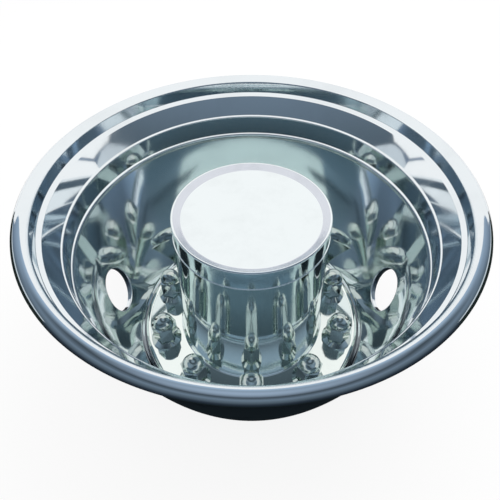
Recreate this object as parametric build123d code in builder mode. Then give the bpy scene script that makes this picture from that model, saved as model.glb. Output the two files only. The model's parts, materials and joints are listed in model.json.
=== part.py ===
from build123d import *
import os
from math import asin, cos, radians, sin, tan

# Rear truck wheel simulator for a ten-stud dual wheel of the 22.5 inch class.
# It lies on its back: the dish opens upwards and the axis is Z. Lengths are in millimetres.

# Sheet thickness of each pressing
liner_wall = 1.2
hub_wall = 1.2
cap_wall = 1.0
cover_wall = 1.2

# Stud circle
lug_count = 10
lug_circle_d = 285.75
first_lug_angle = -90.0

# Clearances and margins of the fits
neck_clearance = 0.5
retainer_clearance = 0.1
cap_clearance = 0.3
flange_margin = 0.2
plate_margin = 0.4
rim_room = 6.0
tower_gap = 7.375
hub_opening_step = 1.8
spigot_room = 4.0

# Lug covers
cover_hex_flats = 33.0
cover_hex_height = 42.0
cover_hex_bevel = 30.0
cover_flange_width = 7.0
cover_flange_edge = 3.0
cover_flange_slope = 40.0
cover_dome_step = 0.9
neck_stand = 6.0

# Push-on rings behind the lug plate
retainer_width = 5.5
retainer_thickness = 1.5
retainer_slots = 6
retainer_slot_depth = 3.0
retainer_slot_width = 1.6

# Hub tower and its foot flange
tower_height = 203.0
tower_taper = 6.5
foot_fillet_r = 4.0
flange_rim_r = 6.8
flange_rim_angle = 60.0

# End cap and the spigot under it
cap_rim_height = 32.0
cap_rim_width = 11.5
cap_rim_edge_r = 2.0
cap_face_drop = 7.0
cap_face_corner_r = 3.0
cap_bead_r = 0.9
spigot_corner_r = 5.0
spigot_lip = 16.2

# Bowl wall of the liner
wall_foot_slope = 62.4
bowl_top_r = 239.5
bowl_height = 185.9

# Hand holes through the bowl wall
hand_hole_angles = (0.0, 180.0)
hand_hole_d = 68.0
hand_hole_height = 69.2
hand_hole_flange = 5.0

# Rib, upright band, ledge, cone and shelf between the bowl and the lip
rib_height = 12.0
rib_depth = 3.0
band_step = 2.2
band_height = 29.8
band_lean = 1.3
band_edge_r = 3.2
ledge_run = 2.4
ledge_rise = 1.6
ledge_corner_r = 2.0
cone_run = 14.0
cone_height = 26.7
cone_edge_r = 3.0
shelf_run = 5.3
shelf_rise = 3.4
shelf_corner_r = 1.4

# Rolled lip: a leg, then three arcs that turn over outwards
lip_leg = 14.9
lip_leg_lean = 1.8
lip_edge_r = 4.2
lip_edge_turn = 20.0
lip_crown_r = 11.5
lip_crown_turn = 84.0
lip_outer_r = 8.6
lip_outer_turn = 53.0

# Levels above the floor
plate_under = neck_stand
plate_top = plate_under + liner_wall
flange_top = plate_top + hub_wall
cap_seat = flange_top + tower_height
cap_rim_z = cap_seat + cap_rim_height
cap_face_z = cap_rim_z - cap_face_drop
spigot_top = cap_face_z - cap_wall - spigot_room

# Radii of the lug covers, from their own axis
hex_flat_r = cover_hex_flats / 2
hex_corner_r = hex_flat_r / cos(radians(30))
neck_r = hex_flat_r
neck_bore_r = neck_r - cover_wall
neck_hole_r = neck_r + neck_clearance
cover_flange_r = hex_flat_r + cover_flange_width
cover_dome_r = hex_flat_r - cover_dome_step

# Radii from the wheel's axis
lug_circle_r = lug_circle_d / 2
flange_flat_r = lug_circle_r + cover_flange_r + flange_margin
plate_flat_r = flange_flat_r + plate_margin
plate_corner_r = flange_rim_r + hub_wall + rim_room
tower_foot_r = lug_circle_r - cover_flange_r - tower_gap
tower_top_r = tower_foot_r - tower_taper
hub_opening_r = tower_foot_r - hub_wall - hub_opening_step
spigot_r = tower_top_r - cap_wall - cap_clearance
cap_face_r = tower_top_r - cap_rim_width

# The bowl wall is one arc. It leaves the plate's corner at the foot slope and ends at the bowl's top.
foot_slope = radians(wall_foot_slope)
bowl_foot_r = plate_flat_r + plate_corner_r * sin(foot_slope)
bowl_foot_z = plate_top + plate_corner_r * (1 - cos(foot_slope))
bowl_top_z = plate_top + bowl_height
chord_r = bowl_top_r - bowl_foot_r
chord_z = bowl_top_z - bowl_foot_z
bowl_arc_r = (chord_r**2 + chord_z**2) / (2 * (chord_z * cos(foot_slope) - chord_r * sin(foot_slope)))
bowl_centre_r = bowl_foot_r - bowl_arc_r * sin(foot_slope)
bowl_centre_z = bowl_foot_z + bowl_arc_r * cos(foot_slope)

# Hand hole centre on that arc, and the angle by which the wall's outward normal dips there
hand_hole_z = plate_top + hand_hole_height
hand_hole_dip = asin((bowl_centre_z - hand_hole_z) / bowl_arc_r)
hand_hole_r = bowl_centre_r + bowl_arc_r * cos(hand_hole_dip)
hand_hole_reach = hand_hole_d / 2

# Corners of the rib, band, ledge, cone, shelf and lip
rib_top_z = bowl_top_z + rib_height
rib_mid_z = bowl_top_z + rib_height / 2
band_r = bowl_top_r - band_step
band_top_r = band_r + band_lean
band_top_z = rib_top_z + band_height
ledge_end_r = band_top_r + ledge_run
ledge_end_z = band_top_z + ledge_rise
cone_top_r = ledge_end_r + cone_run
cone_top_z = ledge_end_z + cone_height
shelf_end_r = cone_top_r + shelf_run
shelf_end_z = cone_top_z + shelf_rise
lip_spring_r = shelf_end_r + lip_leg_lean
lip_spring_z = shelf_end_z + lip_leg


def draw_bowl():
    """Plate corner and bowl wall of the liner's show face, as an open line."""
    corner = JernArc((plate_flat_r, plate_top), (1, 0), plate_corner_r, wall_foot_slope)
    TangentArc(corner @ 1, (bowl_top_r, bowl_top_z), tangent=corner % 1)


def hand_hole_plane(angle):
    """Plane on the bowl wall at one hand hole, with its normal pointing out of the dish."""
    turn = radians(angle)
    out = cos(hand_hole_dip)
    return Plane(
        origin=(hand_hole_r * cos(turn), hand_hole_r * sin(turn), hand_hole_z),
        x_dir=(-sin(turn), cos(turn), 0),
        z_dir=(out * cos(turn), out * sin(turn), -sin(hand_hole_dip)),
    )


# Wheel liner: first a plug at each hand hole, cut back to the outside of the bowl, then the sheet,
# then the holes, which leave each plug as a turned flange
with BuildPart() as wheel_liner:
    for angle in hand_hole_angles:
        with BuildSketch(hand_hole_plane(angle).offset(-hand_hole_reach)):
            Circle(hand_hole_d / 2 + liner_wall)
        extrude(amount=hand_hole_reach + liner_wall + hand_hole_flange)
    with BuildSketch(Plane.XZ):
        with BuildLine():
            draw_bowl()
            Polyline(
                (bowl_top_r, bowl_top_z),
                (0, bowl_top_z),
                (0, plate_top),
                (plate_flat_r, plate_top),
            )
        make_face()
    revolve(axis=Axis.Z, mode=Mode.SUBTRACT)
    with BuildSketch(Plane.XZ):
        with BuildLine():
            Line((hub_opening_r, plate_top), (plate_flat_r, plate_top))
            draw_bowl()
            ThreePointArc(
                (bowl_top_r, bowl_top_z),
                (band_r - rib_depth, rib_mid_z),
                (band_r, rib_top_z),
            )
            steps = FilletPolyline(
                (band_r, rib_top_z),
                (band_top_r, band_top_z),
                (ledge_end_r, ledge_end_z),
                (cone_top_r, cone_top_z),
                (shelf_end_r, shelf_end_z),
                (lip_spring_r, lip_spring_z),
                radius=[band_edge_r, ledge_corner_r, cone_edge_r, shelf_corner_r],
            )
            lip_edge = JernArc(steps @ 1, steps % 1, lip_edge_r, -lip_edge_turn)
            lip_crown = JernArc(lip_edge @ 1, lip_edge % 1, lip_crown_r, -lip_crown_turn)
            JernArc(lip_crown @ 1, lip_crown % 1, lip_outer_r, -lip_outer_turn)
            offset(amount=liner_wall, side=Side.RIGHT)
        make_face()
    revolve(axis=Axis.Z)
    for angle in hand_hole_angles:
        with BuildSketch(hand_hole_plane(angle)):
            Circle(hand_hole_d / 2)
        extrude(amount=hand_hole_reach, both=True, mode=Mode.SUBTRACT)
    with BuildSketch(Plane.XY.offset(plate_under)):
        with PolarLocations(lug_circle_r, lug_count, start_angle=first_lug_angle):
            Circle(neck_hole_r)
    extrude(amount=liner_wall, mode=Mode.SUBTRACT)

# Hub cover: inward lip, spigot for the cap, step, drafted tower, foot flange and its upturned rim
with BuildPart() as hub_cover:
    with BuildSketch(Plane.XZ):
        with BuildLine():
            side = FilletPolyline(
                (spigot_r - spigot_lip, spigot_top),
                (spigot_r, spigot_top),
                (spigot_r, cap_seat),
                (tower_top_r, cap_seat),
                (tower_foot_r, flange_top),
                (flange_flat_r, flange_top),
                radius=[spigot_corner_r, 0, 0, foot_fillet_r],
            )
            JernArc(side @ 1, (1, 0), flange_rim_r, flange_rim_angle)
            offset(amount=hub_wall, side=Side.RIGHT)
        make_face()
    revolve(axis=Axis.Z)
    with BuildSketch(Plane.XY.offset(plate_top)):
        with PolarLocations(lug_circle_r, lug_count, start_angle=first_lug_angle):
            Circle(neck_hole_r)
    extrude(amount=hub_wall, mode=Mode.SUBTRACT)

# End cap: a skirt with a bead at its foot, a rim, and a slope down to the recessed face
with BuildPart() as hub_cap:
    with BuildSketch(Plane.XZ):
        with BuildLine():
            FilletPolyline(
                (tower_top_r, cap_seat),
                (tower_top_r, cap_rim_z),
                (cap_face_r, cap_face_z),
                (0, cap_face_z),
                radius=[cap_rim_edge_r, cap_face_corner_r],
            )
            offset(amount=cap_wall, side=Side.LEFT)
        make_face()
        with Locations((tower_top_r, cap_seat + cap_bead_r)):
            Circle(cap_bead_r)
    revolve(axis=Axis.Z)

# One lug cover, standing on the origin with its neck below
flange_cone_top = cover_flange_edge + cover_flange_width * tan(radians(cover_flange_slope))
bevel_drop = (hex_corner_r - cover_dome_r) * tan(radians(cover_hex_bevel))
pocket_top = cover_hex_height - bevel_drop - cover_wall
pocket_dome_r = cover_dome_r - cover_wall
neck_length = flange_top

with BuildPart() as cover_form:
    with BuildSketch():
        RegularPolygon(radius=hex_flat_r, side_count=6, major_radius=False)
    extrude(amount=cover_hex_height)
    with BuildSketch(Plane.XZ):
        Polygon(
            (cover_dome_r, cover_hex_height),
            (hex_corner_r, cover_hex_height),
            (hex_corner_r, cover_hex_height - bevel_drop),
            align=None,
        )
    revolve(axis=Axis.Z, mode=Mode.SUBTRACT)
    with BuildSketch(Plane.XZ):
        with BuildLine():
            foot = Polyline(
                (0, -neck_length),
                (neck_r, -neck_length),
                (neck_r, 0),
                (cover_flange_r, 0),
                (cover_flange_r, cover_flange_edge),
                (hex_flat_r, flange_cone_top),
                (cover_dome_r, flange_cone_top),
                (cover_dome_r, cover_hex_height),
            )
            dome = CenterArc((0, cover_hex_height), cover_dome_r, 0, 90)
            Line(dome @ 1, foot @ 0)
        make_face()
    revolve(axis=Axis.Z)
    with BuildSketch(Plane.XZ):
        with BuildLine():
            bore = Polyline(
                (0, -neck_length),
                (neck_bore_r, -neck_length),
                (neck_bore_r, pocket_top),
                (pocket_dome_r, pocket_top),
                (pocket_dome_r, cover_hex_height),
            )
            crown = CenterArc((0, cover_hex_height), pocket_dome_r, 0, 90)
            Line(crown @ 1, bore @ 0)
        make_face()
    revolve(axis=Axis.Z, mode=Mode.SUBTRACT)
    with BuildSketch(Plane.XY.offset(cover_flange_edge)):
        RegularPolygon(radius=neck_bore_r, side_count=6, major_radius=False)
    extrude(amount=pocket_top - cover_flange_edge, mode=Mode.SUBTRACT)

# Push-on rings: each has spring tongues between slots that open into its bore
retainer_bore_r = neck_r + retainer_clearance
with BuildPart() as lug_retainers:
    with BuildSketch(Plane.XY.offset(plate_under - retainer_thickness)):
        with PolarLocations(lug_circle_r, lug_count, start_angle=first_lug_angle):
            Circle(retainer_bore_r + retainer_width)
            Circle(retainer_bore_r, mode=Mode.SUBTRACT)
            with PolarLocations(retainer_bore_r, retainer_slots):
                Rectangle(2 * retainer_slot_depth, retainer_slot_width, mode=Mode.SUBTRACT)
    extrude(amount=retainer_thickness)

# Write every piece
os.makedirs("parts", exist_ok=True)

wheel_liner.part.label = "wheel_liner"
export_step(wheel_liner.part, "parts/wheel_liner.step")

hub_cover.part.label = "hub_cover"
export_step(hub_cover.part, "parts/hub_cover.step")

hub_cap.part.label = "hub_cap"
export_step(hub_cap.part, "parts/hub_cap.step")

lug_retainers.part.label = "lug_retainers"
export_step(lug_retainers.part, "parts/lug_retainers.step")

for number in range(lug_count):
    angle = first_lug_angle + 360 * number / lug_count
    x = lug_circle_r * cos(radians(angle))
    y = lug_circle_r * sin(radians(angle))
    with BuildPart() as lug_cover:
        with Locations(Location((x, y, flange_top), (0, 0, angle))):
            add(cover_form.part)
    name = f"lug_cover_{number + 1:02d}"
    lug_cover.part.label = name
    export_step(lug_cover.part, f"parts/{name}.step")
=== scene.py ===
"""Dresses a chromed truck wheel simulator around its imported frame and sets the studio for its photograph."""

import json
from math import asin, atan2, cos, hypot, pi, radians, sin, tan

import bpy
import numpy as np
from bpy.props import FloatProperty, FloatVectorProperty, IntProperty, PointerProperty
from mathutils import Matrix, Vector


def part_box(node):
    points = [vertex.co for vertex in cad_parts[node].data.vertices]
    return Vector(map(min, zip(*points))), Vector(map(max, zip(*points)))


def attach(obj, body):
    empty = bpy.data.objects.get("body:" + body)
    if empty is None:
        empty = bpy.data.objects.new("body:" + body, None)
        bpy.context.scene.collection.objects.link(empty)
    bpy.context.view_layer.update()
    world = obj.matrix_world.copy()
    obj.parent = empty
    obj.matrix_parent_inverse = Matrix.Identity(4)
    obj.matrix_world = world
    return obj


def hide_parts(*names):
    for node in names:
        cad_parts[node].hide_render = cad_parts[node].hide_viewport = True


bl_info = {
    "name": "Truck Wheel Simulator",
    "version": (1, 0, 0),
    "blender": (4, 5, 0),
    "location": "3D View > Sidebar > Wheel",
    "description": "Builds a chromed wheel simulator: liner, hub cover, end cap and lug covers",
    "category": "Add Mesh",
}

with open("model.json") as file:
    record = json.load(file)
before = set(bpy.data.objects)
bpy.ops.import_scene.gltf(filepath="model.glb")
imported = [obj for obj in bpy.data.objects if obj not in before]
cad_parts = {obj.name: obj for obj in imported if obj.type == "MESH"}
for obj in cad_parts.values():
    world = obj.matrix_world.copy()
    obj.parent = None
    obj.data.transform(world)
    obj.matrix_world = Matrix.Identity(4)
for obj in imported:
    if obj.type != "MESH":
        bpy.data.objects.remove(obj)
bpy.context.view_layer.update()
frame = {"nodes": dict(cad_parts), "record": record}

MM = 0.001
STUDS = next(m for m in frame["record"]["mounts"] if m["kind"] == "bolt_pattern")


def length(name, millimetres, description):
    """A length property whose default is given in millimetres."""
    return FloatProperty(
        name=name, description=description, default=millimetres * MM, min=0.0, unit="LENGTH"
    )


def angle(name, degrees, description):
    """An angle property whose default is given in degrees."""
    return FloatProperty(name=name, description=description, default=radians(degrees), subtype="ANGLE")


def colour(name, default, description):
    """A linear colour property."""
    return FloatVectorProperty(
        name=name, description=description, default=default, size=3, min=0.0, max=1.0, subtype="COLOR"
    )


# Sizes of the object, the same as in its solids

class StudSizes(bpy.types.PropertyGroup):
    count: IntProperty(
        name="Studs", description="Lug covers on the circle", default=STUDS["dims"]["count"], min=3
    )
    circle_d: length("Stud circle", STUDS["dims"]["pcd_mm"], "Diameter of the circle through the studs")
    first: angle("First stud", -90.0, "Direction of the first lug cover")
    hole_r: length("Neck hole radius", 17.0, "Holes that the lug covers' necks pass through")


class LinerSizes(bpy.types.PropertyGroup):
    wall: length("Wall", 1.2, "Sheet thickness")
    plate_under: length("Plate height", 6.0, "Underside of the lug plate above the floor")
    opening_r: length("Hub opening radius", 109.0, "Opening in the middle of the lug plate")
    plate_r: length("Plate radius", 166.975, "Flat part of the lug plate")
    corner_r: length("Corner radius", 14.0, "Bend from the plate into the bowl wall")
    foot_slope: angle("Foot slope", 62.4, "Slope of the wall where the bend ends")
    bowl_r: length("Bowl top radius", 239.5, "Radius at the top of the bowl wall")
    bowl_height: length("Bowl height", 185.9, "Top of the bowl wall above the plate")
    rib_height: length("Rib height", 12.0, "Rolled rib above the bowl wall")
    rib_depth: length("Rib depth", 3.0, "How far the rib stands in from the band")
    band_step: length("Band step", 2.2, "How far the band stands in from the bowl's top")
    band_height: length("Band height", 29.8, "Upright band above the rib")
    band_lean: length("Band lean", 1.3, "How far the band leans out at its top")
    band_edge_r: length("Band edge radius", 3.2, "Bend from the band into the ledge")
    ledge_run: length("Ledge run", 2.4, "Width of the ledge above the band")
    ledge_rise: length("Ledge rise", 1.6, "How far the ledge rises")
    ledge_corner_r: length("Ledge corner radius", 2.0, "Bend from the ledge into the cone")
    cone_run: length("Cone run", 14.0, "How far the cone widens")
    cone_height: length("Cone height", 26.7, "Height of the cone")
    cone_edge_r: length("Cone edge radius", 3.0, "Bend from the cone into the shelf")
    shelf_run: length("Shelf run", 5.3, "Width of the shelf inside the lip")
    shelf_rise: length("Shelf rise", 3.4, "How far the shelf rises")
    shelf_corner_r: length("Shelf corner radius", 1.4, "Bend from the shelf into the lip")
    lip_leg: length("Lip leg", 14.9, "Leg inside the rolled lip")
    lip_lean: length("Lip lean", 1.8, "How far the leg leans out at its top")
    lip_edge_r: length("Lip edge radius", 4.2, "Bend from the leg into the lip's crown")
    lip_edge_turn: angle("Lip edge turn", 20.0, "How far that bend turns")
    lip_crown_r: length("Lip crown radius", 11.5, "Crown of the rolled lip")
    lip_crown_turn: angle("Lip crown turn", 84.0, "How far the crown turns")
    lip_outer_r: length("Lip outer radius", 8.6, "Outer bend of the rolled lip")
    lip_outer_turn: angle("Lip outer turn", 53.0, "How far the outer bend turns")
    hole_d: length("Hand hole", 68.0, "Diameter of the hand holes")
    hole_height: length("Hand hole height", 69.2, "Centre of the hand holes above the plate")
    hole_flange: length("Hand hole flange", 5.0, "Turned flange behind each hand hole")
    hole_edge_r: length("Hand hole edge", 2.0, "Rounding of each hand hole's inner edge")


class HubSizes(bpy.types.PropertyGroup):
    wall: length("Wall", 1.2, "Sheet thickness")
    foot_r: length("Tower foot radius", 112.0, "Radius where the tower meets its flange")
    taper: length("Tower taper", 6.5, "How much narrower the tower is at the top")
    height: length("Tower height", 203.0, "Cap seat above the foot flange")
    fillet_r: length("Foot fillet", 4.0, "Bend from the tower into the flange")
    flange_r: length("Flange radius", 166.575, "Flat part of the foot flange")
    rim_r: length("Rim radius", 6.8, "Upturned edge of the foot flange")
    rim_angle: angle("Rim angle", 60.0, "How far the edge turns up")
    spigot_height: length("Spigot height", 20.0, "Spigot inside the cap")
    spigot_gap: length("Spigot gap", 1.3, "Cap wall and clearance around the spigot")
    spigot_corner_r: length("Spigot corner", 5.0, "Bend at the top of the spigot")
    spigot_lip: length("Spigot lip", 16.2, "Lip at the top of the spigot")


class CapSizes(bpy.types.PropertyGroup):
    wall: length("Wall", 1.0, "Sheet thickness")
    rim_height: length("Rim height", 32.0, "Corner of the cap's rim above its seat")
    rim_width: length("Rim width", 11.5, "Slope from the rim in to the recessed face")
    rim_edge_r: length("Rim edge radius", 2.0, "Bend from the skirt over the rim")
    face_drop: length("Face drop", 7.0, "Recessed face below the rim's corner")
    face_corner_r: length("Face corner radius", 3.0, "Bend from the slope into the face")
    bead_r: length("Bead radius", 0.9, "Bead around the cap's edge")


class LugSizes(bpy.types.PropertyGroup):
    wall: length("Wall", 1.2, "Wall thickness")
    flats: length("Across flats", 33.0, "Hexagon across its flats")
    hex_height: length("Hexagon height", 42.0, "Hexagon above the foot flange")
    hex_edge_r: length("Hexagon edge", 1.6, "Rounding of the hexagon's upright edges")
    bevel: angle("Hexagon bevel", 30.0, "Slope of the hexagon's top bevel")
    flange_width: length("Flange width", 7.0, "Skirt around the hexagon's foot")
    flange_edge: length("Flange edge", 3.0, "Upright edge of the skirt")
    flange_slope: angle("Flange slope", 40.0, "Slope of the skirt")
    dome_step: length("Dome step", 0.9, "How far the dome stands in from the flats")


# Half sections and the skins that they sweep

class Section:
    """A half section in the (radius, height) plane. The face that shows is on the pen's left."""

    def __init__(self, radius, height):
        self.pen = np.array((radius, height))
        self.runs = []

    def line(self, radius, height, steps=1):
        """Draws a straight run and keeps its places and normals."""
        end = np.array((radius, height))
        way = (end - self.pen) / np.linalg.norm(end - self.pen)
        share = np.linspace(0, 1, steps + 1)[:, None]
        places = self.pen + share * (end - self.pen)
        self.runs.append((places, np.tile((-way[1], way[0]), (steps + 1, 1))))
        self.pen = end

    def arc(self, radius, height, turn, steps):
        """Draws an arc about a centre. A positive turn is anticlockwise."""
        centre = np.array((radius, height))
        spoke = self.pen - centre
        bearing = atan2(spoke[1], spoke[0]) + np.linspace(0, turn, steps + 1)
        out = np.stack((np.cos(bearing), np.sin(bearing)), 1)
        self.runs.append((centre + hypot(*spoke) * out, -np.sign(turn) * out))
        self.pen = self.runs[-1][0][-1]

    def left(self):
        """The way to the pen's left, where the last run ends."""
        return self.runs[-1][1][-1]

    def bend(self, radius, turn, steps):
        """Draws an arc that goes on smoothly from the last run. A positive turn is anticlockwise."""
        self.arc(*(self.pen + np.sign(turn) * radius * self.left()), turn, steps)

    def rounded(self, corners, radii, line_steps=4, arc_steps=8):
        """Draws straight runs through the corners, each corner bent to its radius."""
        for corner, after, radius in zip(corners, corners[1:], radii):
            corner, after = np.array(corner), np.array(after)
            before = (self.pen - corner) / np.linalg.norm(self.pen - corner)
            beyond = (after - corner) / np.linalg.norm(after - corner)
            half = np.arccos(np.dot(before, beyond)) / 2
            bend_start = corner + before * radius / tan(half)
            to_centre = (before + beyond) / np.linalg.norm(before + beyond)
            centre = corner + to_centre * radius / sin(half)
            way = np.sign(before[1] * beyond[0] - before[0] * beyond[1])
            self.line(*bend_start, line_steps)
            self.arc(*centre, way * (pi - 2 * half), arc_steps)
        self.line(*corners[-1], line_steps)

    def backed(self, wall):
        """The runs of the sheet's other face, a wall's thickness behind, in the pen's order."""
        backs = []
        for number, (places, normals) in enumerate(self.runs):
            inward = normals.copy()
            if number > 0:
                inward[0] = mitre(normals[0], self.runs[number - 1][1][-1])
            if number + 1 < len(self.runs):
                inward[-1] = mitre(normals[-1], self.runs[number + 1][1][0])
            backs.append((places - wall * inward, -normals))
        return backs


def mitre(normal, neighbour):
    """The offset direction that keeps both faces of a corner a wall's thickness away."""
    return (normal + neighbour) / (1 + np.dot(normal, neighbour))


def turned(places, normals, turns):
    """Sweeps half-section places and normals about the wheel's axis, each to its own turn."""
    c, s = np.cos(turns), np.sin(turns)
    at = np.stack((places[..., 0] * c, places[..., 0] * s, places[..., 1] + 0 * c), -1)
    facing = np.stack((normals[..., 0] * c, normals[..., 0] * s, normals[..., 1] + 0 * c), -1)
    return at, facing


POINT_GRID = 1e-7
TURN_STEPS = 240
# The third slot is the cap's satin slope, whose darker, bluer colour is painted shade
SHOWN, BEHIND, SATIN_AND_SHADE = 0, 1, 2


class Skin:
    """Gathers quads with the exact normal at each corner, and makes one mesh of them."""

    def __init__(self):
        self.places, self.normals, self.finishes = [], [], []

    def quads(self, places, normals, finish):
        """Keeps quads, each as four places with their normals."""
        self.places.append(places.reshape(-1, 4, 3))
        self.normals.append(normals.reshape(-1, 4, 3))
        self.finishes.append(np.full(len(self.places[-1]), finish))

    def grid(self, places, normals, finish):
        """Quads between the rows of a grid, which runs along the pen and then around the axis."""
        def corners(values):
            return np.stack((values[:-1, :-1], values[1:, :-1], values[1:, 1:], values[:-1, 1:]), 2)
        self.quads(corners(places), corners(normals), finish)

    def band(self, outer, inner, finish):
        """Quads from one closed ring to the next. Each ring is its places and normals."""
        def corners(a, b):
            return np.stack((a, np.roll(a, -1, 0), np.roll(b, -1, 0), b), 1)
        self.quads(corners(outer[0], inner[0]), corners(outer[1], inner[1]), finish)

    def lathe(self, run, turns, finish):
        """Sweeps one run of a half section through the turns."""
        places, normals = run
        self.grid(*turned(places[:, None], normals[:, None], turns[None, :]), finish)

    def piece(self, name, materials):
        """One mesh object with shared points and the gathered corner normals."""
        places = np.concatenate(self.places)
        normals = np.concatenate(self.normals)
        finishes = np.concatenate(self.finishes)
        keys = np.round(places.reshape(-1, 3) / POINT_GRID).astype(np.int64)
        _, first, index = np.unique(keys, axis=0, return_index=True, return_inverse=True)
        faces, corner_normals, kept = [], [], []
        for number, face in enumerate(index.reshape(-1, 4)):
            spots = [k for k in range(4) if face[k] != face[k - 1]]
            if len(spots) < 3:
                continue
            faces.append([int(face[k]) for k in spots])
            corner_normals.extend(normals[number, k] for k in spots)
            kept.append(finishes[number])
        mesh = bpy.data.meshes.new(name)
        mesh.from_pydata(places.reshape(-1, 3)[first].tolist(), [], faces)
        for material in materials:
            mesh.materials.append(material)
        mesh.polygons.foreach_set("material_index", np.array(kept, np.int32))
        mesh.polygons.foreach_set("use_smooth", np.ones(len(kept), bool))
        mesh.normals_split_custom_set([tuple(n) for n in corner_normals])
        piece = bpy.data.objects.new(name, mesh)
        bpy.context.scene.collection.objects.link(piece)
        return piece


def wheel_turns(studs):
    """Turns around the axis, starting half a pitch before the first stud."""
    return studs.first - pi / studs.count + np.linspace(0, 2 * pi, TURN_STEPS + 1)


def along(run, station):
    """Place and normal at a fractional station of a run."""
    count = np.arange(len(run[0]))
    return [np.stack([np.interp(station, count, values[:, k]) for k in (0, 1)], -1) for values in run]


def patch_edge(stations, turns):
    """The edge of a patch of the swept grid, as (station, turn) pairs in the order of its quads."""
    edge = [(s, turns[0]) for s in stations[:-1]] + [(stations[-1], t) for t in turns[:-1]]
    edge += [(s, turns[-1]) for s in stations[:0:-1]] + [(stations[0], t) for t in turns[:0:-1]]
    return np.array(edge)


HALVINGS, RING_COUNT = 40, 6


def hole_rings(run, edge, centre, axis, radius):
    """Rings on a swept run, from the edge of a patch in to a round hole about an axis."""
    def surface(spots):
        """Places and normals at (station, turn) pairs of the run."""
        return turned(*along(run, spots[..., 0]), spots[..., 1])

    middle = surface(np.array(centre))[0]
    reach = edge - centre
    low, high = np.zeros(len(edge)), np.ones(len(edge))
    for _ in range(HALVINGS):
        share = (low + high) / 2
        offset = surface(centre + share[:, None] * reach)[0] - middle
        inside = np.linalg.norm(offset - (offset @ axis)[:, None] * axis, axis=1) < radius
        low, high = np.where(inside, share, low), np.where(inside, high, share)
    steps = np.linspace(1, 0, RING_COUNT + 1)
    return [surface(centre + (share + (1 - share) * step)[:, None] * reach) for step in steps]


def spokes(ring, middle, axis):
    """Unit vectors from a hole's axis out to each point of a ring."""
    offset = ring[0] - middle
    radial = offset - (offset @ axis)[:, None] * axis
    return radial / np.linalg.norm(radial, axis=1, keepdims=True)


def strips(skin, chains):
    """Bands along chains of rings, each chain with its finish."""
    for finish, rings in chains:
        for outer, inner in zip(rings, rings[1:]):
            skin.band(outer, inner, finish)


def neck_holes(skin, run, back, studs):
    """Fills the flat run around the ten neck holes, on both faces of the sheet."""
    turns = wheel_turns(studs)
    pitch = TURN_STEPS // studs.count
    axis = np.array((0.0, 0.0, 1.0))
    station = np.interp(studs.circle_d / 2, run[0][:, 0], np.arange(len(run[0])))
    for number in range(studs.count):
        sector = turns[number * pitch:(number + 1) * pitch + 1]
        edge = patch_edge(np.arange(len(run[0])), sector)
        centre = (station, sector[pitch // 2])
        top = hole_rings(run, edge, centre, axis, studs.hole_r)
        under = hole_rings(back, edge, centre, axis, studs.hole_r)[::-1]
        middle = turned(*along(run, np.array(station)), np.array(centre[1]))[0]
        inward = -spokes(top[-1], middle, axis)
        wall = [(top[-1][0], inward), (under[0][0], inward)]
        strips(skin, [(SHOWN, top), (BEHIND, wall), (BEHIND, under)])


def sheet_ends(skin, section, backs, turns):
    """Cut edges at both ends of a sheet's half section."""
    for start, end in ((section.runs[-1][0][-1], backs[-1][0][-1]), (backs[0][0][0], section.runs[0][0][0])):
        edge = Section(*start)
        edge.line(*end)
        skin.lathe(edge.runs[0], turns, BEHIND)


def reverse(run):
    """The same run drawn the other way."""
    return run[0][::-1], run[1][::-1]


# Wheel liner

PLATE_STEPS, CORNER_STEPS, BOWL_STEPS, RIB_STEPS, LIP_STEPS = 4, 10, 36, 12, 10
HAND_HOLE_TURNS = (0.0, pi)
HAND_HOLE_STATIONS = (1, 25)
HAND_HOLE_HALF_STEPS = 9
EDGE_STEPS = 5
PLATE_RUN, BOWL_RUN = 0, 2


def circle_centre(a, b, c):
    """Centre of the circle through three points."""
    rows = 2 * np.array((b - a, c - a))
    return np.linalg.solve(rows, np.array((b @ b - a @ a, c @ c - a @ a)))


def liner_section(liner):
    """The liner's show face, from the hub opening over the bowl to the lip's free edge."""
    plate_top = liner.plate_under + liner.wall
    section = Section(liner.opening_r, plate_top)
    section.line(liner.plate_r, plate_top, PLATE_STEPS)
    section.bend(liner.corner_r, liner.foot_slope, CORNER_STEPS)

    bowl_top = np.array((liner.bowl_r, plate_top + liner.bowl_height))
    chord = bowl_top - section.pen
    bowl_arc_r = chord @ chord / (2 * chord @ section.left())
    bowl_turn = 2 * asin(hypot(*chord) / (2 * bowl_arc_r))
    section.bend(bowl_arc_r, bowl_turn, BOWL_STEPS)

    band_r = liner.bowl_r - liner.band_step
    rib_top = np.array((band_r, bowl_top[1] + liner.rib_height))
    rib_mid = np.array((band_r - liner.rib_depth, bowl_top[1] + liner.rib_height / 2))
    centre = circle_centre(bowl_top, rib_mid, rib_top)
    rib_r = hypot(*(bowl_top - centre))
    rib_turn = 2 * asin(hypot(*(rib_top - bowl_top)) / (2 * rib_r))
    section.arc(*centre, -rib_turn, RIB_STEPS)

    band_top = (band_r + liner.band_lean, rib_top[1] + liner.band_height)
    ledge_end = (band_top[0] + liner.ledge_run, band_top[1] + liner.ledge_rise)
    cone_top = (ledge_end[0] + liner.cone_run, ledge_end[1] + liner.cone_height)
    shelf_end = (cone_top[0] + liner.shelf_run, cone_top[1] + liner.shelf_rise)
    lip_spring = (shelf_end[0] + liner.lip_lean, shelf_end[1] + liner.lip_leg)
    section.rounded(
        [band_top, ledge_end, cone_top, shelf_end, lip_spring],
        [liner.band_edge_r, liner.ledge_corner_r, liner.cone_edge_r, liner.shelf_corner_r],
    )
    section.bend(liner.lip_edge_r, -liner.lip_edge_turn, LIP_STEPS)
    section.bend(liner.lip_crown_r, -liner.lip_crown_turn, LIP_STEPS)
    section.bend(liner.lip_outer_r, -liner.lip_outer_turn, LIP_STEPS)
    return section


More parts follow.
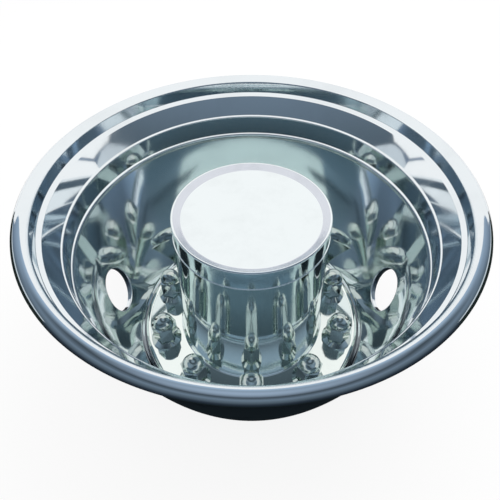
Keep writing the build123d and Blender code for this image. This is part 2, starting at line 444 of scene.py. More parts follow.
def hand_hole(skin, run, back, liner, turns):
    """Fills the bowl wall around one hand hole, with its rounded edge and turned flange."""
    stations = np.arange(HAND_HOLE_STATIONS[0], HAND_HOLE_STATIONS[1] + 1)
    edge = patch_edge(stations, turns)
    height = liner.plate_under + liner.wall + liner.hole_height
    centre = (np.interp(height, run[0][:, 1], np.arange(len(run[0]))), turns[len(turns) // 2])
    middle, facing = turned(*along(run, np.array(centre[0])), np.array(centre[1]))
    out = -facing / np.linalg.norm(facing)
    radius, edge_r = liner.hole_d / 2, liner.hole_edge_r
    top = hole_rings(run, edge, centre, out, radius + edge_r)
    under = hole_rings(back, edge, centre, out, radius + liner.wall)[::-1]

    inward = -spokes(top[-1], middle, out)
    rounding = []
    for bend in np.linspace(0, pi / 2, EDGE_STEPS + 1):
        place = top[-1][0] + edge_r * ((1 - cos(bend)) * out + sin(bend) * inward)
        rounding.append((place, cos(bend) * top[-1][1] + sin(bend) * inward))
    flange_end = middle + out * (liner.wall + liner.hole_flange)
    inner_end = flange_end - radius * inward
    outer_end = flange_end - (radius + liner.wall) * inward
    down = np.tile(out, (len(inward), 1))
    inside = [rounding[-1], (inner_end, inward)]
    rim = [(inner_end, down), (outer_end, down)]
    outside = [(outer_end, -inward), (under[0][0], -inward)]
    strips(skin, [(SHOWN, top), (SHOWN, rounding), (SHOWN, inside)])
    strips(skin, [(BEHIND, rim), (BEHIND, outside), (BEHIND, under)])


def liner_skin(liner, studs):
    """The liner's whole skin: swept runs, with patches where holes pass through."""
    skin = Skin()
    section = liner_section(liner)
    backs = section.backed(liner.wall)
    turns = wheel_turns(studs)
    neck_holes(skin, section.runs[PLATE_RUN], backs[PLATE_RUN], studs)
    step = turns[1] - turns[0]
    low, high = HAND_HOLE_STATIONS
    spans = []
    for turn in HAND_HOLE_TURNS:
        middle = round((turn - turns[0]) / step)
        span = (middle - HAND_HOLE_HALF_STEPS, middle + HAND_HOLE_HALF_STEPS)
        hand_hole(skin, section.runs[BOWL_RUN], backs[BOWL_RUN], liner, turns[span[0]:span[1] + 1])
        spans.append(span)
    between = [(spans[0][1], spans[1][0]), (spans[1][1], TURN_STEPS), (0, spans[0][0])]
    bowl_parts = [(slice(0, low + 1), turns), (slice(high, None), turns)]
    bowl_parts += [(slice(low, high + 1), turns[start:end + 1]) for start, end in between]
    for number, (run, back) in enumerate(zip(section.runs, backs)):
        if number == PLATE_RUN:
            continue
        for rows, sector in bowl_parts if number == BOWL_RUN else [(slice(None), turns)]:
            skin.lathe((run[0][rows], run[1][rows]), sector, SHOWN)
            skin.lathe(reverse((back[0][rows], back[1][rows])), sector, BEHIND)
    sheet_ends(skin, section, backs, turns)
    return skin


# Hub cover

FLANGE_RUN = -2
TOWER_STEPS, RIM_STEPS = 12, 10


def hub_section(hub, plate_top):
    """The hub cover's show face, from the spigot's lip down the tower to the flange's upturned rim."""
    flange_top = plate_top + hub.wall
    seat = flange_top + hub.height
    top_r = hub.foot_r - hub.taper
    spigot_r = top_r - hub.spigot_gap
    spigot_top = seat + hub.spigot_height
    section = Section(spigot_r - hub.spigot_lip, spigot_top)
    section.rounded([(spigot_r, spigot_top), (spigot_r, seat)], [hub.spigot_corner_r])
    section.line(top_r, seat)
    section.rounded([(hub.foot_r, flange_top), (hub.flange_r, flange_top)], [hub.fillet_r], TOWER_STEPS)
    section.arc(hub.flange_r, flange_top + hub.rim_r, hub.rim_angle, RIM_STEPS)
    return section


def hub_skin(hub, studs, plate_top):
    """The hub cover's skin, with neck holes through its flange."""
    skin = Skin()
    section = hub_section(hub, plate_top)
    backs = section.backed(hub.wall)
    turns = wheel_turns(studs)
    flange = len(section.runs) + FLANGE_RUN
    for number, (run, back) in enumerate(zip(section.runs, backs)):
        if number == flange:
            neck_holes(skin, run, back, studs)
        else:
            skin.lathe(run, turns, SHOWN)
            skin.lathe(reverse(back), turns, BEHIND)
    sheet_ends(skin, section, backs, turns)
    return skin


# End cap

BEAD_STEPS = 8
# Runs of the cap's section that take the satin slope, painted darker and bluer as shade
SLOPE_RUNS = (1, 2)


def cap_skin(cap, studs, outer_r, seat):
    """The cap's skin: recessed face, rim, skirt and bead outside, and the same sheet inside."""
    rim = seat + cap.rim_height
    face = rim - cap.face_drop
    face_r = outer_r - cap.rim_width
    skirt_foot = seat + 2 * cap.bead_r
    sheet = Section(0.0, face)
    sheet.rounded(
        [(face_r, face), (outer_r, rim), (outer_r, skirt_foot)], [cap.face_corner_r, cap.rim_edge_r]
    )
    foot = Section(outer_r, skirt_foot)
    foot.arc(outer_r, seat + cap.bead_r, -pi, BEAD_STEPS)
    foot.line(outer_r - cap.wall, seat)
    foot.line(outer_r - cap.wall, skirt_foot)
    turns = wheel_turns(studs)
    skin = Skin()
    for number, run in enumerate((*sheet.runs, foot.runs[0])):
        skin.lathe(run, turns, SATIN_AND_SHADE if number in SLOPE_RUNS else SHOWN)
    for run in (*foot.runs[1:], *map(reverse, sheet.backed(cap.wall))):
        skin.lathe(run, turns, BEHIND)
    return skin


# Lug covers

FLAT_STEPS, CORNER_BEND_STEPS, DOME_STEPS = 6, 6, 14


def hexagon(flat_r, corner_r):
    """Turns, radii and normals around a hexagon with rounded corners, one of them on the X axis."""
    corner_out = (flat_r - corner_r) / cos(pi / 6)
    bend = atan2((flat_r - corner_r) * tan(pi / 6), flat_r)
    turns, radii, facing = [], [], []
    for side in range(6):
        middle = pi / 6 + side * pi / 3
        for turn in np.linspace(-bend, bend, FLAT_STEPS + 1):
            turns.append(middle + turn)
            radii.append(flat_r / cos(turn))
            facing.append(middle)
        corner = middle + pi / 6
        for share in np.linspace(-1, 1, CORNER_BEND_STEPS + 1)[1:-1]:
            turn = corner + share * (pi / 6 - bend)
            offset = turn - corner
            radius = corner_out * cos(offset) + (corner_r**2 - (corner_out * sin(offset)) ** 2) ** 0.5
            turns.append(turn)
            radii.append(radius)
            facing.append(atan2(
                radius * sin(turn) - corner_out * sin(corner), radius * cos(turn) - corner_out * cos(corner)
            ))
    return tuple(np.array(values + values[:1]) for values in (turns, radii, facing))


def lug_skin(lug, neck_length):
    """One lug cover standing on its own origin, dome up and neck down."""
    flat_r = lug.flats / 2
    dome_r = flat_r - lug.dome_step
    flange_r = flat_r + lug.flange_width
    bore_r = flat_r - lug.wall
    turns, hex_r, facing = hexagon(flat_r, lug.hex_edge_r)
    pocket_r = hexagon(bore_r, lug.hex_edge_r)[1]
    skin = Skin()

    def ring(radius, height):
        """Places around the cover's axis, at one height."""
        return np.stack((radius * np.cos(turns), radius * np.sin(turns), height + 0 * turns), -1)

    def sides(turn, rise=0.0):
        """Normals that look out along each turn, tilted up by the rise."""
        flat = cos(rise)
        return np.stack((flat * np.cos(turn), flat * np.sin(turn), sin(rise) + 0 * turns), -1)

    def strip(rings, normals, finish):
        """Quads from each ring to the next."""
        skin.grid(np.stack(rings), np.stack(normals), finish)

    def dome(radius, outward, finish):
        """The dome's outer face, or its inner one where outward is -1."""
        rises = np.linspace(pi / 2, 0, DOME_STEPS + 1)[::outward]
        rings = [ring(radius * cos(rise), lug.hex_height + radius * sin(rise)) for rise in rises]
        strip(rings, [outward * sides(turns, rise) for rise in rises], finish)

    def bevel(radius):
        """Height of the hexagon's top bevel at a radius."""
        return lug.hex_height - (radius - dome_r) * tan(lug.bevel)

    def skirt(radius):
        """Height of the foot flange's slope at a radius."""
        return lug.flange_edge + (flange_r - radius) * tan(lug.flange_slope)

    up, down = sides(turns, pi / 2), sides(turns, -pi / 2)
    pocket_top = bevel(flat_r / cos(pi / 6)) - lug.wall
    hollow_r = dome_r - lug.wall
    dome(dome_r, 1, SHOWN)
    strip([ring(dome_r, bevel(dome_r)), ring(hex_r, bevel(hex_r))],
          [sides(turns, pi / 2 - lug.bevel)] * 2, SHOWN)
    strip([ring(hex_r, bevel(hex_r)), ring(hex_r, skirt(hex_r))], [sides(facing)] * 2, SHOWN)
    strip([ring(hex_r, skirt(hex_r)), ring(flange_r, skirt(flange_r))],
          [sides(turns, pi / 2 - lug.flange_slope)] * 2, SHOWN)
    strip([ring(flange_r, lug.flange_edge), ring(flange_r, 0.0)], [sides(turns)] * 2, SHOWN)
    strip([ring(flange_r, 0.0), ring(flat_r, 0.0)], [down] * 2, BEHIND)
    strip([ring(flat_r, 0.0), ring(flat_r, -neck_length)], [sides(turns)] * 2, BEHIND)
    strip([ring(flat_r, -neck_length), ring(bore_r, -neck_length)], [down] * 2, BEHIND)
    strip([ring(bore_r, -neck_length), ring(bore_r, lug.flange_edge)], [-sides(turns)] * 2, BEHIND)
    strip([ring(bore_r, lug.flange_edge), ring(pocket_r, lug.flange_edge)], [up] * 2, BEHIND)
    strip([ring(pocket_r, lug.flange_edge), ring(pocket_r, pocket_top)], [-sides(facing)] * 2, BEHIND)
    strip([ring(pocket_r, pocket_top), ring(hollow_r, pocket_top)], [down] * 2, BEHIND)
    strip([ring(hollow_r, pocket_top), ring(hollow_r, lug.hex_height)], [-sides(turns)] * 2, BEHIND)
    dome(hollow_r, -1, BEHIND)
    return skin


# Finishes

class FinishColours(bpy.types.PropertyGroup):
    liner: colour("Liner steel", (0.83, 0.875, 0.90), "Polished sheet of the liner")
    hub: colour("Hub steel", (0.87, 0.93, 0.90), "Polished sheet of the hub cover")
    cap: colour("Cap steel", (0.88, 0.93, 0.94), "Polished sheet of the end cap")
    # The rim slope's colour, darker and bluer than the cap steel, is painted shade; its satin roughness is a
    # finish
    rim: colour("Cap rim", (0.70, 0.73, 0.79), "Satin slope inside the end cap's rim")
    lug: colour("Lug plating", (0.60, 0.66, 0.63), "Bright plating of the lug covers")
    back: colour("Back face", (0.34, 0.36, 0.38), "Unpolished back of the sheets")
    spring: colour("Spring steel", (0.30, 0.31, 0.33), "Push-on rings behind the lug plate")
    temper: colour("Temper tint", (0.34, 0.27, 0.19), "Straw tint that tempering leaves on the rings")
    haze: FloatProperty(
        name="Haze", description="How much darker the hazed polish is", default=0.05, min=0.0, max=1.0,
        subtype="FACTOR"
    )


def add(tree, kind, inputs=None, **choices):
    """A shader node. Each input is a value, or the output socket that feeds it."""
    node = tree.nodes.new("ShaderNode" + kind)
    for name, value in choices.items():
        setattr(node, name, value)
    for name, value in (inputs or {}).items():
        if isinstance(value, bpy.types.NodeSocket):
            tree.links.new(value, node.inputs[name])
        else:
            node.inputs[name].default_value = value
    return node


def effect(name, inputs, outputs):
    """An empty node group with named sockets, and its two end nodes."""
    tree = bpy.data.node_groups.new(name, "ShaderNodeTree")
    for label, default in inputs.items():
        kind = "NodeSocketFloat" if isinstance(default, float) else "NodeSocketColor"
        tree.interface.new_socket(label, in_out="INPUT", socket_type=kind).default_value = default
    for label, kind in outputs.items():
        tree.interface.new_socket(label, in_out="OUTPUT", socket_type=kind)
    return tree, tree.nodes.new("NodeGroupInput").outputs, tree.nodes.new("NodeGroupOutput").inputs


LINE_STRETCH = 0.004
HAZE_EDGE = (0.44, 0.72)


def press_waves():
    """Broad shallow waves that drawing leaves in a sheet. Puts out their height."""
    if "Press Waves" in bpy.data.node_groups:
        return bpy.data.node_groups["Press Waves"]
    tree, given, shown = effect("Press Waves", {"Scale": 10.0}, {"Height": "NodeSocketFloat"})
    place = add(tree, "TexCoord").outputs["Object"]
    waves = add(
        tree, "TexNoise", {"Vector": place, "Scale": given["Scale"], "Detail": 1.0, "Roughness": 0.35}
    )
    tree.links.new(waves.outputs["Fac"], shown["Height"])
    return tree


def polish_lines():
    """Fine lines that a polishing wheel leaves around the axis. Puts out their height."""
    if "Polish Lines" in bpy.data.node_groups:
        return bpy.data.node_groups["Polish Lines"]
    tree, given, shown = effect("Polish Lines", {"Lines per Metre": 500.0}, {"Height": "NodeSocketFloat"})
    place = add(tree, "SeparateXYZ", {0: add(tree, "TexCoord").outputs["Object"]}).outputs
    square_x = add(tree, "Math", {0: place["X"], 1: place["X"]}, operation="MULTIPLY")
    squares = add(
        tree, "Math", {0: place["Y"], 1: place["Y"], 2: square_x.outputs[0]}, operation="MULTIPLY_ADD"
    )
    radius = add(tree, "Math", {0: squares.outputs[0]}, operation="SQRT")
    bearing = add(tree, "Math", {0: place["Y"], 1: place["X"]}, operation="ARCTAN2")
    slow = add(tree, "Math", {0: bearing.outputs[0], 1: LINE_STRETCH}, operation="MULTIPLY")
    unrolled = add(tree, "CombineXYZ", {0: radius.outputs[0], 1: place["Z"], 2: slow.outputs[0]})
    lines = add(
        tree, "TexNoise",
        {"Vector": unrolled.outputs[0], "Scale": given["Lines per Metre"], "Detail": 3.0, "Roughness": 0.6},
    )
    tree.links.new(lines.outputs["Fac"], shown["Height"])
    return tree


def polish_haze():
    """Patches where the polish is hazed by handling. Puts out the colour and the roughness."""
    if "Polish Haze" in bpy.data.node_groups:
        return bpy.data.node_groups["Polish Haze"]
    white = (1.0, 1.0, 1.0, 1.0)
    inputs = {
        "Scale": 14.0, "Clear Colour": white, "Hazed Colour": white,
        "Clear Roughness": 0.03, "Hazed Roughness": 0.1,
    }
    outputs = {"Colour": "NodeSocketColor", "Roughness": "NodeSocketFloat"}
    tree, given, shown = effect("Polish Haze", inputs, outputs)
    place = add(tree, "TexCoord").outputs["Object"]
    patches = add(
        tree, "TexNoise", {"Vector": place, "Scale": given["Scale"], "Detail": 5.0, "Roughness": 0.62}
    )
    mask = add(
        tree, "MapRange",
        {"Value": patches.outputs["Fac"], "From Min": HAZE_EDGE[0], "From Max": HAZE_EDGE[1]},
        interpolation_type="SMOOTHSTEP",
    ).outputs["Result"]
    colours = add(
        tree, "Mix", {"Factor": mask, "A": given["Clear Colour"], "B": given["Hazed Colour"]},
        data_type="RGBA",
    )
    roughness = add(
        tree, "MapRange",
        {"Value": mask, "To Min": given["Clear Roughness"], "To Max": given["Hazed Roughness"]},
    )
    tree.links.new(colours.outputs["Result"], shown["Colour"])
    tree.links.new(roughness.outputs["Result"], shown["Roughness"])
    return tree


def bare_material(name):
    """A new material's tree and its Principled shader."""
    material = bpy.data.materials.new(name)
    material.use_nodes = True
    return material, material.node_tree, material.node_tree.nodes["Principled BSDF"]


def use(tree, group, values):
    """A node group placed in a material with its own values."""
    node = add(tree, "Group", node_tree=group)
    for name, value in values.items():
        node.inputs[name].default_value = value
    return node.outputs


def feed_metal(tree, shader, haze, bump):
    """Joins a metal shader to its haze and its bump."""
    shader.inputs["Metallic"].default_value = 1.0
    tree.links.new(haze["Colour"], shader.inputs["Base Color"])
    tree.links.new(haze["Roughness"], shader.inputs["Roughness"])
    tree.links.new(bump.outputs[0], shader.inputs["Normal"])


LINES_PER_METRE = 420.0
MILL_LINES_PER_METRE = 900.0
STAIN = 0.55


def polished(name, tint, hazed, haze_scale, roughness, wave_scale, wave_depth, line_depth):
    """Polished metal with shallow press waves, faint polishing lines and patches of haze.

    The roughness is a pair: where the polish is clear, and where it is hazed.
    """
    material, tree, shader = bare_material(name)
    darker = [(1 - hazed) * part for part in tint]
    haze = use(tree, polish_haze(), {
        "Scale": haze_scale, "Clear Colour": (*tint, 1.0), "Hazed Colour": (*darker, 1.0),
        "Clear Roughness": roughness[0], "Hazed Roughness": roughness[1],
    })
    waves = use(tree, press_waves(), {"Scale": wave_scale})
    lines = use(tree, polish_lines(), {"Lines per Metre": LINES_PER_METRE})
    wavy = add(tree, "Bump", {"Height": waves["Height"], "Distance": wave_depth})
    lined = add(tree, "Bump", {"Height": lines["Height"], "Distance": line_depth, "Normal": wavy.outputs[0]})
    feed_metal(tree, shader, haze, lined)
    return material


def liner_polish(finish):
    """Mirror polish of the drawn dish."""
    return polished(
        "liner_polish", finish.liner, finish.haze, haze_scale=11.0, roughness=(0.045, 0.10),
        wave_scale=9.0, wave_depth=0.00020, line_depth=4e-7,
    )


def hub_polish(finish):
    """Mirror polish of the tower and its foot flange."""
    return polished(
        "hub_polish", finish.hub, finish.haze, haze_scale=13.0, roughness=(0.05, 0.11),
        wave_scale=12.0, wave_depth=0.00015, line_depth=5e-7,
    )


def cap_polish(finish):
    """Mirror polish of the end cap."""
    return polished(
        "cap_polish", finish.cap, finish.haze, haze_scale=16.0, roughness=(0.03, 0.09),
        wave_scale=8.0, wave_depth=0.00008, line_depth=5e-7,
    )


def rim_satin_and_shade(finish):
    """Satin slope between the end cap's rim and face, its colour darker and bluer than the cap steel as
    painted shade.
    """
    return polished(
        "rim_satin_and_shade", finish.rim, finish.haze, haze_scale=24.0, roughness=(0.20, 0.28),
        wave_scale=8.0, wave_depth=0.00008, line_depth=2e-6,
    )


def lug_plating(finish):
    """Bright plating of the lug covers."""
    return polished(
        "lug_plating", finish.lug, finish.haze, haze_scale=60.0, roughness=(0.045, 0.11),
        wave_scale=45.0, wave_depth=0.00006, line_depth=3e-7,
    )


def mill_back(finish):
    """The sheets' unpolished back: dull steel with rolling marks and stains."""
    if "mill_back" in bpy.data.materials:
        return bpy.data.materials["mill_back"]
    material, tree, shader = bare_material("mill_back")
    stained = [STAIN * part for part in finish.back]
    haze = use(tree, polish_haze(), {
        "Scale": 18.0, "Clear Colour": (*finish.back, 1.0), "Hazed Colour": (*stained, 1.0),
        "Clear Roughness": 0.34, "Hazed Roughness": 0.55,
    })
    lines = use(tree, polish_lines(), {"Lines per Metre": MILL_LINES_PER_METRE})
    grain = add(tree, "Bump", {"Height": lines["Height"], "Distance": 0.00001})
    feed_metal(tree, shader, haze, grain)
    return material


def ring_steel(finish):
    """Spring steel of the push-on rings, with straw temper tints and stamping grain."""
    material, tree, shader = bare_material("ring_steel")
    haze = use(tree, polish_haze(), {
        "Scale": 90.0, "Clear Colour": (*finish.spring, 1.0), "Hazed Colour": (*finish.temper, 1.0),
        "Clear Roughness": 0.28, "Hazed Roughness": 0.45,
    })
    waves = use(tree, press_waves(), {"Scale": 1200.0})
    grain = add(tree, "Bump", {"Height": waves["Height"], "Distance": 0.00002})
    feed_metal(tree, shader, haze, grain)
    return material


# Studio

class StageSettings(bpy.types.PropertyGroup):
    lens: FloatProperty(name="Lens", description="Focal length of the camera in millimetres", default=33.41)
    elevation: angle("Camera elevation", 47.48, "How steeply the camera looks down")
    distance: length("Camera distance", 658.54, "From the aim point to the camera")
    aim: length("Aim height", 167.6, "Point on the axis that the camera looks at")
    shift: FloatProperty(name="Shift", description="Sideways shift of the camera's picture", default=-0.003)
    floor_size: length("Floor size", 8000.0, "Side of the square floor")
    tent_r: length("Tent radius", 950.0, "Radius of the grey tent around the wheel")
    sweep_r: length("Sweep radius", 850.0, "Radius of the white wall behind the wheel")
    sweep_reach: angle("Sweep reach", 69.0, "How far the white wall goes round to each side")
    roof_height: length("Roof height", 435.0, "Height of the white roof over the wheel")
    ambient: FloatProperty(name="Ambient", description="Strength of the even light", default=0.9, min=0.0)
    key_power: FloatProperty(
        name="Key lamp", description="Power of the soft lamp", default=10.0, unit="POWER"
    )


class WheelSettings(bpy.types.PropertyGroup):
    studs: PointerProperty(type=StudSizes)
    liner: PointerProperty(type=LinerSizes)
    hub: PointerProperty(type=HubSizes)
    cap: PointerProperty(type=CapSizes)
    lug: PointerProperty(type=LugSizes)
    finish: PointerProperty(type=FinishColours)
    stage: PointerProperty(type=StageSettings)


# Share of the floor's white that it gives off by itself
FLOOR_GLOW = 0.85
# Tones of the tent by the share of its height: on the camera's side, and behind the wheel
TENT_FRONT = (
    (0.00, (0.010, 0.016, 0.024)),
    (0.30, (0.030, 0.043, 0.060)),
    (0.60, (0.110, 0.150, 0.190)),
    (0.75, (0.160, 0.215, 0.280)),
    (0.90, (0.060, 0.080, 0.100)),
    (1.00, (0.340, 0.430, 0.550)),
)
TENT_BACK = (
    (0.00, (0.030, 0.050, 0.080)),
    (0.60, (0.300, 0.400, 0.550)),
    (0.90, (0.400, 0.520, 0.660)),
    (1.00, (0.340, 0.430, 0.550)),
)
# Between these places along Y, in metres, the one set of tones turns into the other
TENT_CHANGE = (0.1, 0.5)
WHITE, PALE, BLACK = (1.0, 1.0, 1.0), (0.60, 0.66, 0.71), (0.014, 0.022, 0.020)
FLOOR_FLAG_TONE = (0.012, 0.018, 0.022)
# Right half of the roof's front edge, as places in metres
ROOF_FRONT = ((0.15, 0.03), (0.19, 0.06), (0.50, 0.12))
# Cards and flags at the sides: distance from the axis, nearest and farthest place along Y, foot and top
SIDE_STRIP = (0.80, -0.25, 0.35, 0.36, 0.50)
SIDE_FLAG = (0.75, -0.25, 0.30, 0.0, 0.36)
# The soft lamp, in metres
LAMP_SIZE = 1.4
LAMP_PLACE = (0.5, 0.9, 1.7)
MIRROR_BOUNCES = 12
TENT_STEPS, TENT_TURNS, SWEEP_STEPS = 24, 73, 41
FLOOR_FLAG_LIFT = 0.001


def seen_plainly(tree):
    """1 on rays that show a surface as it is, from the camera or by way of metal or glass."""
    path = add(tree, "LightPath").outputs
    some = add(tree, "Math", {0: path["Is Camera Ray"], 1: path["Is Glossy Ray"]}, operation="ADD")
    every = add(
        tree, "Math", {0: some.outputs[0], 1: path["Is Transmission Ray"]}, operation="ADD", use_clamp=True
    )
    return every.outputs[0]


def glow(name):
    """A new material that only gives off light, and its tree and shader."""
    material = bpy.data.materials.new(name)
    material.use_nodes = True
    tree = material.node_tree
    tree.nodes.remove(tree.nodes["Principled BSDF"])
    shader = add(tree, "Emission")
    tree.links.new(shader.outputs[0], tree.nodes["Material Output"].inputs["Surface"])
    return material, tree, shader


def floor_material():
    """Pale floor that looks white in even light and keeps the wheel's shadow."""
    material, tree, shader = bare_material("floor")
    shader.inputs["Base Color"].default_value = (1 - FLOOR_GLOW,) * 3 + (1.0,)
    shader.inputs["Roughness"].default_value = 1.0
    shader.inputs["Specular IOR Level"].default_value = 0.0
    shader.inputs["Emission Color"].default_value = (1.0, 1.0, 1.0, 1.0)
    lit = add(tree, "Math", {0: seen_plainly(tree), 1: FLOOR_GLOW}, operation="MULTIPLY")
    tree.links.new(lit.outputs[0], shader.inputs["Emission Strength"])
    return material


def toned(tree, share, tones):
    """A colour ramp through the tones, each with its place."""
    ramp = add(tree, "ValToRGB", {0: share})
    stops = ramp.color_ramp.elements
    for number, (at, tone) in enumerate(tones):
        stop = stops[number] if number < len(stops) else stops.new(at)
        stop.position = at
        stop.color = (*tone, 1.0)
    return ramp.outputs[0]


def tent_material(radius):
    """Blue-grey cloth, dark towards the floor and brighter behind the wheel."""
    material, tree, shader = glow("tent")
    place = add(tree, "SeparateXYZ", {0: add(tree, "TexCoord").outputs["Object"]}).outputs
    share = add(tree, "Math", {0: place["Z"], 1: radius}, operation="DIVIDE").outputs[0]
    near, far = TENT_CHANGE
    change = add(tree, "MapRange", {"Value": place["Y"], "From Min": near, "From Max": far})
    front_tone, back_tone = toned(tree, share, TENT_FRONT), toned(tree, share, TENT_BACK)
    tones = add(
        tree, "Mix", {"Factor": change.outputs["Result"], "A": front_tone, "B": back_tone}, data_type="RGBA"
    )
    tree.links.new(tones.outputs["Result"], shader.inputs["Color"])
    return material


def reflect_only(piece):
    """Marks a stage piece that shows in polished metal and nowhere else."""
    piece.visible_camera = False
    piece.visible_diffuse = False
    piece.visible_shadow = False
    piece.visible_transmission = False


def tone_material(name, tone):
    """A plain glowing tone."""
    material, _, shader = glow(name)
    shader.inputs["Color"].default_value = (*tone, 1.0)
    return material


def circle(radius):
    """Places around a circle on the wheel's axis."""
    return [(radius * cos(turn), radius * sin(turn)) for turn in np.linspace(0, 2 * pi, SWEEP_STEPS)[:-1]]


def card(name, corners, tone):
    """A flat glowing card that shows in polished metal only."""
    mesh = bpy.data.meshes.new(name)
    mesh.from_pydata(corners, [], [range(len(corners))])
    mesh.materials.append(tone_material(name, tone))
    piece = bpy.data.objects.new(name, mesh)
    bpy.context.scene.collection.objects.link(piece)
    reflect_only(piece)


def set_world(ambient):
    """A white world for what the camera and metal see, and a plain level for even light."""
    world = bpy.data.worlds.new("studio")
    world.use_nodes = True
    tree = world.node_tree
    strength = add(tree, "MapRange", {"Value": seen_plainly(tree), "To Min": ambient, "To Max": 1.0})
    shader = tree.nodes["Background"]
    shader.inputs["Color"].default_value = (1.0, 1.0, 1.0, 1.0)
    tree.links.new(strength.outputs["Result"], shader.inputs["Strength"])
    bpy.context.scene.world = world


def settings():
    """The scene's own sizes and colours."""
    return bpy.context.scene.wheel_simulator


def mount_skin(piece, slot, *nodes):
    """Puts a skin on the root body, in place of its solids."""
    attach(piece, "root")
    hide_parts(*nodes)


class AddLiner(bpy.types.Operator):
    """Build the polished wheel liner with its hand holes and rolled lip"""

    bl_idname = "wheel.add_liner"
    bl_label = "Add Liner"

    def execute(self, context):
        wheel = settings()
        finishes = [liner_polish(wheel.finish), mill_back(wheel.finish)]
        piece = liner_skin(wheel.liner, wheel.studs).piece("liner_shell", finishes)
        mount_skin(piece, "liner_steel", "wheel_liner")
        return {"FINISHED"}


class AddHubCover(bpy.types.Operator):
    """Build the hub cover with its tower, spigot and foot flange"""

    bl_idname = "wheel.add_hub_cover"
    bl_label = "Add Hub Cover"

    def execute(self, context):
        wheel = settings()
        finishes = [hub_polish(wheel.finish), mill_back(wheel.finish)]
        plate_top = wheel.liner.plate_under + wheel.liner.wall
        piece = hub_skin(wheel.hub, wheel.studs, plate_top).piece("hub_shell", finishes)
        mount_skin(piece, "hub_steel", "hub_cover")
        return {"FINISHED"}


class AddHubCap(bpy.types.Operator):
    """Build the end cap on the hub cover's spigot"""

    bl_idname = "wheel.add_hub_cap"
    bl_label = "Add Hub Cap"

    def execute(self, context):
        wheel = settings()
        finishes = [cap_polish(wheel.finish), mill_back(wheel.finish), rim_satin_and_shade(wheel.finish)]
        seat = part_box("hub_cap")[0].z
        outer_r = wheel.hub.foot_r - wheel.hub.taper
        piece = cap_skin(wheel.cap, wheel.studs, outer_r, seat).piece("cap_shell", finishes)
        mount_skin(piece, "cap_steel", "hub_cap")
        return {"FINISHED"}


class AddLugCovers(bpy.types.Operator):
    """Build the ring of lug covers on the foot flange"""

    bl_idname = "wheel.add_lug_covers"
    bl_label = "Add Lug Covers"

    def execute(self, context):
        wheel = settings()
        finishes = [lug_plating(wheel.finish), mill_back(wheel.finish)]
        seat = wheel.liner.plate_under + wheel.liner.wall + wheel.hub.wall
        radius = wheel.studs.circle_d / 2
        for number in range(wheel.studs.count):
            turn = wheel.studs.first + 2 * pi * number / wheel.studs.count
            piece = lug_skin(wheel.lug, seat).piece(f"lug_shell_{number + 1:02d}", finishes)
            piece.location = (radius * cos(turn), radius * sin(turn), seat)
            piece.rotation_euler.z = turn
            mount_skin(piece, "lug_chrome", f"lug_cover_{number + 1:02d}")
        return {"FINISHED"}


class FinishRetainers(bpy.types.Operator):
    """Give the push-on rings behind the lug plate their spring steel"""

    bl_idname = "wheel.finish_retainers"
    bl_label = "Finish Retainers"

    def execute(self, context):
        rings = frame["nodes"]["lug_retainers"]
        rings.data.materials.clear()
        rings.data.materials.append(ring_steel(settings().finish))
        return {"FINISHED"}


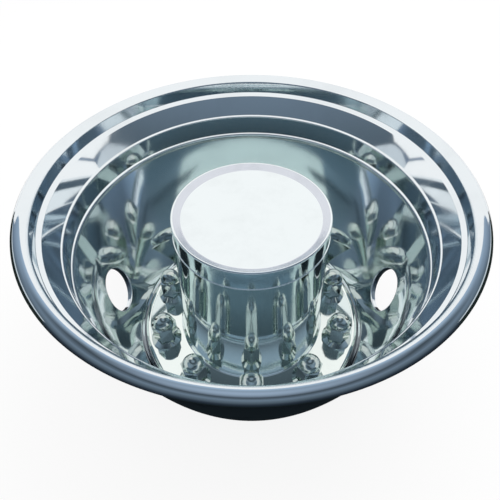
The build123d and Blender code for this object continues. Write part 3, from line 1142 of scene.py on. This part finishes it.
class SetStage(bpy.types.Operator):
    """Set the floor, the studio light and the camera"""

    bl_idname = "wheel.set_stage"
    bl_label = "Set Stage"

    def execute(self, context):
        stage = settings().stage
        scene = context.scene
        scene.view_settings.view_transform = "Standard"
        scene.cycles.glossy_bounces = MIRROR_BOUNCES
        set_world(stage.ambient)
        self.floor(stage)
        self.tent(stage)
        self.cards(stage)
        self.lamp(scene, stage)
        self.camera(scene, stage)
        return {"FINISHED"}

    def floor(self, stage):
        """The white floor that the wheel lies on."""
        bpy.ops.mesh.primitive_plane_add(size=stage.floor_size)
        floor = bpy.context.object
        floor.name = "floor"
        floor.data.materials.append(floor_material())

    def tent(self, stage):
        """The grey tent that the polish mirrors."""
        dome = Section(0.0, stage.tent_r)
        dome.arc(0.0, 0.0, -pi / 2, TENT_STEPS)
        skin = Skin()
        skin.lathe(dome.runs[0], np.linspace(0, 2 * pi, TENT_TURNS), SHOWN)
        reflect_only(skin.piece("tent", [tent_material(stage.tent_r)]))

    def cards(self, stage):
        """White wall and roof, and the cards and flags at the sides and on the floor."""
        turns = np.linspace(pi / 2 - stage.sweep_reach, pi / 2 + stage.sweep_reach, SWEEP_STEPS)
        edge = [(stage.sweep_r * cos(turn), stage.sweep_r * sin(turn)) for turn in turns]
        wall = Section(stage.sweep_r, stage.roof_height)
        wall.line(stage.sweep_r, 0.0)
        skin = Skin()
        skin.lathe(wall.runs[0], turns, SHOWN)
        reflect_only(skin.piece("sweep", [tone_material("sweep", WHITE)]))
        front = [(-x, y) for x, y in ROOF_FRONT[::-1]] + list(ROOF_FRONT)
        card("roof", [(x, y, stage.roof_height) for x, y in front + edge], WHITE)
        card("floor_flag", [(*place, FLOOR_FLAG_LIFT) for place in circle(stage.tent_r)], FLOOR_FLAG_TONE)
        for name, (out, near, far, foot, top), tone in (
            ("side_strip", SIDE_STRIP, PALE), ("side_flag", SIDE_FLAG, BLACK),
        ):
            for side in (-1, 1):
                corners = ((near, foot), (far, foot), (far, top), (near, top))
                card(name, [(side * out, y, z) for y, z in corners], tone)

    def lamp(self, scene, stage):
        """The soft lamp that makes the shadow."""
        data = bpy.data.lights.new("key_lamp", "AREA")
        data.energy = stage.key_power
        data.size = LAMP_SIZE
        lamp = bpy.data.objects.new("key_lamp", data)
        lamp.location = LAMP_PLACE
        lamp.rotation_euler = Vector(lamp.location).to_track_quat("Z", "Y").to_euler()
        lamp.visible_camera = False
        lamp.visible_glossy = False
        scene.collection.objects.link(lamp)

    def camera(self, scene, stage):
        """The photograph's camera."""
        data = bpy.data.cameras.new("camera")
        data.lens = stage.lens
        data.shift_x = stage.shift
        camera = bpy.data.objects.new("camera", data)
        back = Vector((0, -cos(stage.elevation), sin(stage.elevation)))
        camera.location = Vector((0, 0, stage.aim)) + stage.distance * back
        camera.rotation_euler = (pi / 2 - stage.elevation, 0, 0)
        scene.collection.objects.link(camera)
        scene.camera = camera


class WheelPanel(bpy.types.Panel):
    """Sidebar panel with the wheel's build steps"""

    bl_idname = "VIEW3D_PT_wheel_simulator"
    bl_label = "Wheel Simulator"
    bl_space_type = "VIEW_3D"
    bl_region_type = "UI"
    bl_category = "Wheel"

    def draw(self, context):
        """A button for each build step."""
        for step in STEPS:
            self.layout.operator(step.bl_idname)


STEPS = (AddLiner, AddHubCover, AddHubCap, AddLugCovers, FinishRetainers, SetStage)
classes = (
    StudSizes, LinerSizes, HubSizes, CapSizes, LugSizes, FinishColours, StageSettings, WheelSettings,
    *STEPS, WheelPanel,
)


def register():
    for item in classes:
        bpy.utils.register_class(item)
    bpy.types.Scene.wheel_simulator = PointerProperty(type=WheelSettings)


def unregister():
    del bpy.types.Scene.wheel_simulator
    for item in reversed(classes):
        bpy.utils.unregister_class(item)


def main():
    """Builds the wheel and its studio."""
    register()
    bpy.ops.wheel.add_liner()
    bpy.ops.wheel.add_hub_cover()
    bpy.ops.wheel.add_hub_cap()
    bpy.ops.wheel.add_lug_covers()
    bpy.ops.wheel.finish_retainers()
    bpy.ops.wheel.set_stage()


if __name__ == "__main__":
    main()
